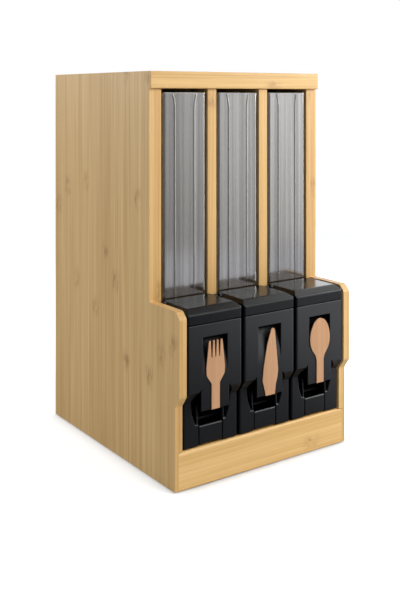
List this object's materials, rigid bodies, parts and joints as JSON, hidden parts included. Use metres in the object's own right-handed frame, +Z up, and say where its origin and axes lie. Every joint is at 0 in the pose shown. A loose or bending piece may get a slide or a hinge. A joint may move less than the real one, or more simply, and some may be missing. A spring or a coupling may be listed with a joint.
{
  "type": "cutlery dispenser",
  "caption": "Countertop dispenser for flat wooden cutlery: bamboo cabinet with tinted upright magazines, black push-lever feeders and hinged lids",
  "frame": {"origin": "middle of the footprint, on the surface that the pads stand on", "axes": "X runs across the front to the right as seen by the user, Y runs from the front to the back, Z is up"},
  "size_m": [0.24, 0.286, 0.436],
  "materials": {
    "bamboo": "satin clear lacquer",
    "black_plastic": "satin moulded",
    "lid_plastic": "smooth moulded",
    "gear_plastic": "satin moulded",
    "smoke_plastic": "tinted translucent",
    "birch": "bare sanded",
    "steel": "bright",
    "rubber": "matte"
  },
  "bodies": {
    "cabinet": {"side_panel_left": "bamboo", "side_panel_right": "bamboo", "back_panel": "bamboo", "base_board": "bamboo", "base_front_rail": "bamboo", "divider_left": "bamboo", "divider_right": "bamboo", "front_post_left": "bamboo", "front_post_right": "bamboo", "lid_pivot_pins": "steel", "lid_rest_cleats": "bamboo", "rubber_pads": "rubber", "base_screws": "steel", "tray_screws": "steel", "tray_fork": "black_plastic", "chute_fork": "black_plastic", "lane_rails_fork": "black_plastic", "front_cover_fork": "black_plastic", "lid_hinge_pin_fork": "steel", "lever_pin_fork": "steel", "lever_spring_fork": "steel", "roller_shaft_fork": "steel", "magazine_fork": "smoke_plastic", "display_fork": "birch", "tray_knife": "black_plastic", "chute_knife": "black_plastic", "lane_rails_knife": "black_plastic", "front_cover_knife": "black_plastic", "lid_hinge_pin_knife": "steel", "lever_pin_knife": "steel", "lever_spring_knife": "steel", "roller_shaft_knife": "steel", "magazine_knife": "smoke_plastic", "display_knife": "birch", "tray_spoon": "black_plastic", "chute_spoon": "black_plastic", "lane_rails_spoon": "black_plastic", "front_cover_spoon": "black_plastic", "lid_hinge_pin_spoon": "steel", "lever_pin_spoon": "steel", "lever_spring_spoon": "steel", "roller_shaft_spoon": "steel", "magazine_spoon": "smoke_plastic", "display_spoon": "birch"},
    "top_lid": {"lid_board": "bamboo", "lid_front_rail": "bamboo"},
    "unit_lid_fork": {"unit_lid_fork": "lid_plastic"},
    "lever_fork": {"lever_fork": "black_plastic"},
    "roller_fork": {"feed_roller_fork": "gear_plastic", "roller_tyre_fork": "rubber"},
    "unit_lid_knife": {"unit_lid_knife": "lid_plastic"},
    "lever_knife": {"lever_knife": "black_plastic"},
    "roller_knife": {"feed_roller_knife": "gear_plastic", "roller_tyre_knife": "rubber"},
    "unit_lid_spoon": {"unit_lid_spoon": "lid_plastic"},
    "lever_spoon": {"lever_spoon": "black_plastic"},
    "roller_spoon": {"feed_roller_spoon": "gear_plastic", "roller_tyre_spoon": "rubber"}
  },
  "joints": [
    {"name": "top_lid_hinge", "type": "hinge", "parent": "cabinet", "child": "top_lid", "pos_m": [0, 0.1301, 0.43], "axis": [-1, 0, 0], "range_deg": [0, 97.5]},
    {"name": "unit_lid_hinge_fork", "type": "hinge", "parent": "cabinet", "child": "unit_lid_fork", "pos_m": [-0.074, -0.095, 0.1845], "axis": [-1, 0, 0], "range_deg": [0, 95]},
    {"name": "lever_hinge_fork", "type": "hinge", "parent": "cabinet", "child": "lever_fork", "pos_m": [-0.074, -0.127, 0.0465], "axis": [-1, 0, 0], "range_deg": [0, 42], "stiffness_Nm_per_rad": 0.1, "springref_deg": -57.3, "deforming": ["lever_spring_fork"]},
    {"name": "roller_spin_fork", "type": "hinge", "parent": "cabinet", "child": "roller_fork", "pos_m": [-0.074, -0.078, 0.0465], "axis": [1, 0, 0], "range_deg": [0, 146]},
    {"name": "unit_lid_hinge_knife", "type": "hinge", "parent": "cabinet", "child": "unit_lid_knife", "pos_m": [0, -0.095, 0.1845], "axis": [-1, 0, 0], "range_deg": [0, 95]},
    {"name": "lever_hinge_knife", "type": "hinge", "parent": "cabinet", "child": "lever_knife", "pos_m": [0, -0.127, 0.0465], "axis": [-1, 0, 0], "range_deg": [0, 42], "stiffness_Nm_per_rad": 0.1, "springref_deg": -57.3, "deforming": ["lever_spring_knife"]},
    {"name": "roller_spin_knife", "type": "hinge", "parent": "cabinet", "child": "roller_knife", "pos_m": [0, -0.078, 0.0465], "axis": [1, 0, 0], "range_deg": [0, 146]},
    {"name": "unit_lid_hinge_spoon", "type": "hinge", "parent": "cabinet", "child": "unit_lid_spoon", "pos_m": [0.074, -0.095, 0.1845], "axis": [-1, 0, 0], "range_deg": [0, 95]},
    {"name": "lever_hinge_spoon", "type": "hinge", "parent": "cabinet", "child": "lever_spoon", "pos_m": [0.074, -0.127, 0.0465], "axis": [-1, 0, 0], "range_deg": [0, 42], "stiffness_Nm_per_rad": 0.1, "springref_deg": -57.3, "deforming": ["lever_spring_spoon"]},
    {"name": "roller_spin_spoon", "type": "hinge", "parent": "cabinet", "child": "roller_spoon", "pos_m": [0.074, -0.078, 0.0465], "axis": [1, 0, 0], "range_deg": [0, 146]}
  ],
  "couplings": [
    {"joint": "roller_spin_fork", "follows": "lever_hinge_fork", "ratio": 3.4545},
    {"joint": "roller_spin_knife", "follows": "lever_hinge_knife", "ratio": 3.4545},
    {"joint": "roller_spin_spoon", "follows": "lever_hinge_spoon", "ratio": 3.4545}
  ]
}
